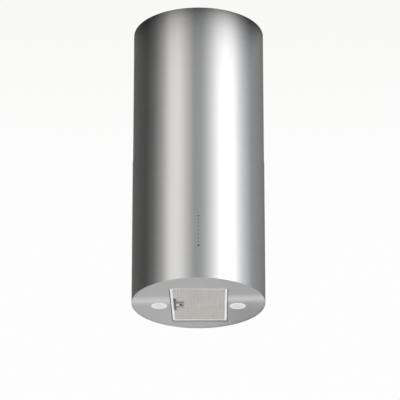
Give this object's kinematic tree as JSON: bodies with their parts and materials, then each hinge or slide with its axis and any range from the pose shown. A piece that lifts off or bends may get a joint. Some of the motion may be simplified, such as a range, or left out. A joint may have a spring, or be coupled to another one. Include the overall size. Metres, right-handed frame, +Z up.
{
  "type": "island range hood",
  "caption": "Cylindrical ceiling-hung extractor hood: two telescoping steel tubes, round underside with a hinged grease filter, lamps and touch marks.",
  "frame": {"origin": "centre of the ceiling bracket's top face, which lies against the ceiling", "axes": "+Z up, the hood hangs towards -Z; -Y is the front with the touch marks; +X is to the right seen from the front"},
  "size_m": [0.3812, 0.3803, 0.845],
  "materials": {
    "cover_steel": "brushed round the tube",
    "plate_steel": "brushed",
    "galvanised": "zinc spangle",
    "zinc_fastener": "zinc plated",
    "rubber": "matt",
    "motor_paint": "satin",
    "wheel_plastic": "moulded",
    "black_plastic": "moulded",
    "grey_plastic": "moulded",
    "circuit_board": "solder mask",
    "capacitor_white": "moulded",
    "touch_grey": "smoked",
    "lamp_white": "moulded",
    "frosted_glass": "frosted",
    "reflector": "spun",
    "filter_aluminium": "satin",
    "filter_mesh": "expanded mesh",
    "latch_grey": "moulded",
    "latch_button": "moulded",
    "spring_steel": "bright"
  },
  "bodies": {
    "ceiling_frame": {"ceiling_bracket": "galvanised", "cable_grommet": "rubber", "upper_brace": "galvanised", "upper_frame_screws": "zinc_fastener", "cover_hanger_screws": "zinc_fastener", "upper_leg_front_left": "galvanised", "upper_leg_front_right": "galvanised", "upper_leg_rear_left": "galvanised", "upper_leg_rear_right": "galvanised"},
    "upper_tube": {"upper_cover": "cover_steel"},
    "hood": {"lower_cover": "cover_steel", "base_plate": "plate_steel", "motor_box": "galvanised", "base_rivets": "zinc_fastener", "box_screws": "zinc_fastener", "clamp_screws": "zinc_fastener", "clamp_nuts": "zinc_fastener", "cover_stays": "galvanised", "cover_studs": "zinc_fastener", "cover_nuts": "zinc_fastener", "scroll_band": "galvanised", "scroll_sides": "galvanised", "inlet_rings": "galvanised", "motor_body": "motor_paint", "motor_bearings": "zinc_fastener", "motor_spider": "galvanised", "motor_grommets": "rubber", "outlet_spigot": "black_plastic", "flap_pin": "zinc_fastener", "electronics_box": "grey_plastic", "electronics_lid": "grey_plastic", "control_board": "circuit_board", "capacitor": "capacitor_white", "capacitor_clip": "galvanised", "terminal_box": "black_plastic", "cable_gland": "black_plastic", "touch_tray": "black_plastic", "touch_board": "circuit_board", "touch_beads": "touch_grey", "power_pad": "touch_grey", "minus_pad": "touch_grey", "lamp_rings": "lamp_white", "lamp_glasses": "frosted_glass", "lamp_cans": "reflector", "lamp_modules": "reflector", "lower_leg_front_left": "galvanised", "lower_leg_front_right": "galvanised", "lower_leg_rear_left": "galvanised", "lower_leg_rear_right": "galvanised"},
    "filter": {"filter_frame": "filter_aluminium", "filter_mesh": "filter_mesh", "filter_core": "filter_mesh", "filter_hinge_pins": "filter_aluminium", "latch_housing": "latch_grey"},
    "latch": {"latch_slider": "latch_button", "latch_spring": "spring_steel"},
    "flap_front": {"flap_front": "galvanised"},
    "flap_rear": {"flap_rear": "galvanised"},
    "impeller": {"impeller_wheel": "wheel_plastic", "motor_shaft": "zinc_fastener"}
  },
  "joints": [
    {"name": "tube_slide", "type": "slide", "parent": "ceiling_frame", "child": "upper_tube", "axis": [0, 0, 1], "range_m": [-0.085, 0]},
    {"name": "hood_height", "type": "slide", "parent": "ceiling_frame", "child": "hood", "axis": [0, 0, 1], "range_m": [-0.03, 0.09]},
    {"name": "filter_hinge", "type": "hinge", "parent": "hood", "child": "filter", "pos_m": [0.0785, 0.021, -0.8375], "axis": [0, -1, 0], "range_deg": [0, 80]},
    {"name": "latch_slide", "type": "slide", "parent": "filter", "child": "latch", "axis": [1, 0, 0], "range_m": [0, 0.007], "stiffness_N_per_m": 150, "springref_m": -0.006, "deforming": ["latch_spring"]},
    {"name": "flap_front_hinge", "type": "hinge", "parent": "hood", "child": "flap_front", "pos_m": [0, 0, -0.522], "axis": [-1, 0, 0], "range_deg": [0, 80]},
    {"name": "flap_rear_hinge", "type": "hinge", "parent": "hood", "child": "flap_rear", "pos_m": [0, 0, -0.522], "axis": [1, 0, 0], "range_deg": [0, 80]},
    {"name": "impeller_spin", "type": "hinge", "parent": "hood", "child": "impeller", "pos_m": [0, -0.04448, -0.66148], "axis": [1, 0, 0], "continuous": true}
  ]
}
